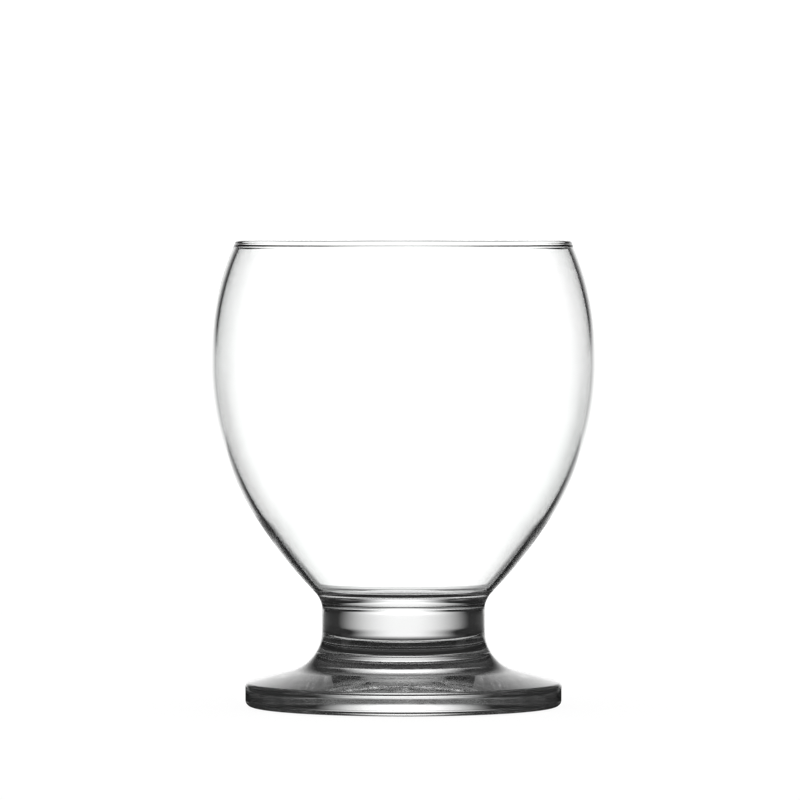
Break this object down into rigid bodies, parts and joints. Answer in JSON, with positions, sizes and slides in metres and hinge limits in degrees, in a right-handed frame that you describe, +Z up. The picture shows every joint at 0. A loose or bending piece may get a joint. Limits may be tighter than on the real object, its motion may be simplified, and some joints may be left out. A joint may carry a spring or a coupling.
{
  "type": "footed beer glass",
  "caption": "Clear drinking glass with a round-bellied bowl narrowing to the rim, on a short thick solid stem and a flared disc foot, for serving beer.",
  "frame": {"origin": "on the glass's axis, in the plane that the foot stands on", "axes": "+Z up along the axis, from the foot to the rim; X and Y lie level and are alike"},
  "size_m": [0.0966, 0.0966, 0.1162],
  "materials": {
    "bowl_glass": "clear, fire-polished blown glass",
    "stem_glass": "clear, fire-polished solid glass",
    "foot_glass": "clear, fire-polished pressed glass"
  },
  "bodies": {
    "root": {"bowl": "bowl_glass", "stem": "stem_glass", "foot": "foot_glass"}
  },
  "joints": []
}
